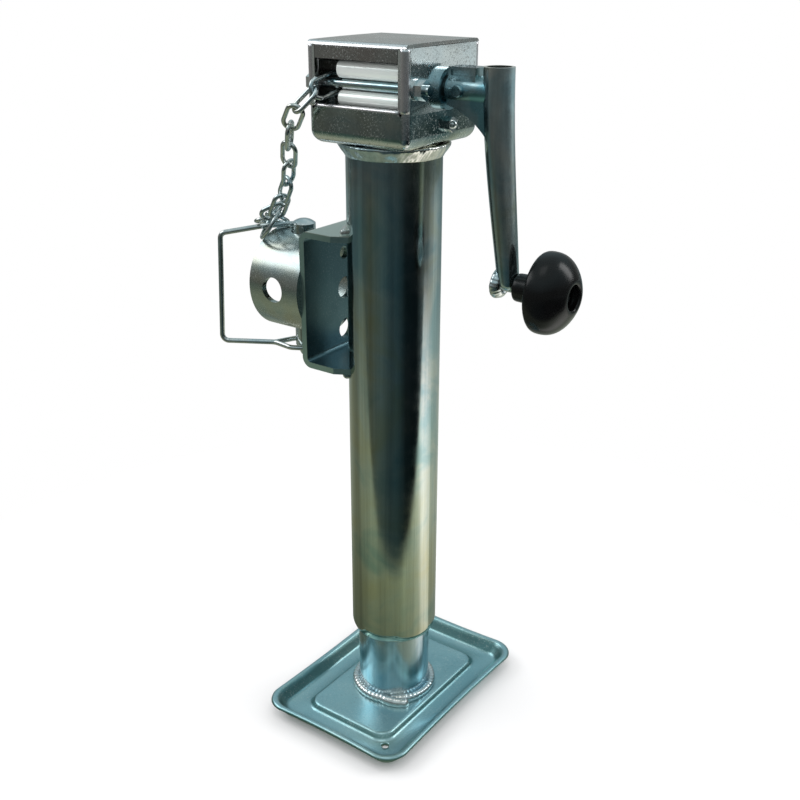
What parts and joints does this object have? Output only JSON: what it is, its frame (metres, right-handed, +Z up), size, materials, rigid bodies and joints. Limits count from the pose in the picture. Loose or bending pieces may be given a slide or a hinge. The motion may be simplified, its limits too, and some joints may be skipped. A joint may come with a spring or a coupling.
{
  "type": "folding trailer prop stand",
  "caption": "Side-wind prop stand: crank and bevel gears drive a telescopic leg with a foot plate; side socket with a wire-snapped lock pin on a keeper chain.",
  "frame": {"origin": "on the tube's axis, in the plane of the foot plate's underside", "axes": "+Z up along the tube, +X towards the crank, -X towards the side socket, Y along the foot plate's long side"},
  "size_m": [0.2569, 0.1634, 0.463],
  "materials": {
    "zinc_tube": "bright zinc plate on drawn tube, glossy with fine streaks",
    "zinc_plate": "bright zinc plate on pressed sheet, blue-grey tint, faintly mottled",
    "weld_bead": "plated weld bead, lumpy and bright",
    "bright_steel": "machined steel with a film of grease",
    "zinc_hardware": "bright zinc plated fasteners",
    "zinc_wire": "bright zinc plated wire",
    "black_plastic": "glossy black moulded plastic"
  },
  "bodies": {
    "root": {"outer_tube": "zinc_tube", "collar_weld": "weld_bead", "gear_housing": "zinc_plate", "housing_lid": "zinc_plate", "front_guard": "zinc_plate", "rear_guard": "zinc_plate", "lower_race": "bright_steel", "thrust_balls": "bright_steel", "crank_bush": "zinc_hardware", "far_bush": "zinc_hardware", "cross_bolt": "zinc_hardware", "bolt_washers": "zinc_hardware", "bolt_nut": "zinc_hardware", "stop_screw": "zinc_hardware", "side_bracket": "zinc_plate", "bracket_welds": "weld_bead", "pipe_socket": "zinc_tube", "chain_top_link": "zinc_wire", "chain_links": "zinc_wire"},
    "leg": {"leg_tube": "zinc_tube", "foot_plate": "zinc_plate", "leg_weld": "weld_bead", "screw_nut": "bright_steel"},
    "screw": {"lead_screw": "bright_steel", "bevel_gear": "bright_steel", "upper_race": "bright_steel"},
    "crank": {"crank_shaft": "bright_steel", "bevel_pinion": "bright_steel", "pinion_roll_pin": "bright_steel", "shaft_clip": "zinc_hardware", "crank_arm": "zinc_tube", "crank_hub": "zinc_plate", "hub_rivet": "zinc_hardware", "grip_axle": "zinc_hardware", "grip_weld": "weld_bead"},
    "grip": {"grip_knob": "black_plastic"},
    "lock_pin": {"lock_pin": "zinc_hardware"},
    "bail": {"wire_bail": "zinc_wire", "chain_ring": "zinc_wire"}
  },
  "joints": [
    {"name": "crank_turn", "type": "hinge", "parent": "root", "child": "crank", "pos_m": [0, 0, 0.437], "axis": [1, 0, 0], "range_deg": [0, 31680]},
    {"name": "screw_turn", "type": "hinge", "parent": "root", "child": "screw", "pos_m": [0, 0, 0.3], "axis": [0, 0, 1], "range_deg": [0, 15840]},
    {"name": "leg_slide", "type": "slide", "parent": "root", "child": "leg", "axis": [0, 0, -1], "range_m": [0, 0.22]},
    {"name": "grip_spin", "type": "hinge", "parent": "crank", "child": "grip", "pos_m": [0.11, 0, 0.327], "axis": [1, 0, 0], "continuous": true},
    {"name": "lock_pin_turn", "type": "hinge", "parent": "root", "child": "lock_pin", "pos_m": [-0.075, 0, 0.3], "axis": [0, 0, 1], "range_deg": [-60, 60], "deforming": ["chain_links"]},
    {"name": "bail_swing", "type": "hinge", "parent": "lock_pin", "child": "bail", "pos_m": [-0.075, 0, 0.3395], "axis": [-0.5045, 0.8634, 0], "range_deg": [0, 100]}
  ],
  "couplings": [
    {"joint": "screw_turn", "follows": "crank_turn", "ratio": 0.5},
    {"joint": "leg_slide", "follows": "crank_turn", "m_per_rad": 0.00039789}
  ]
}
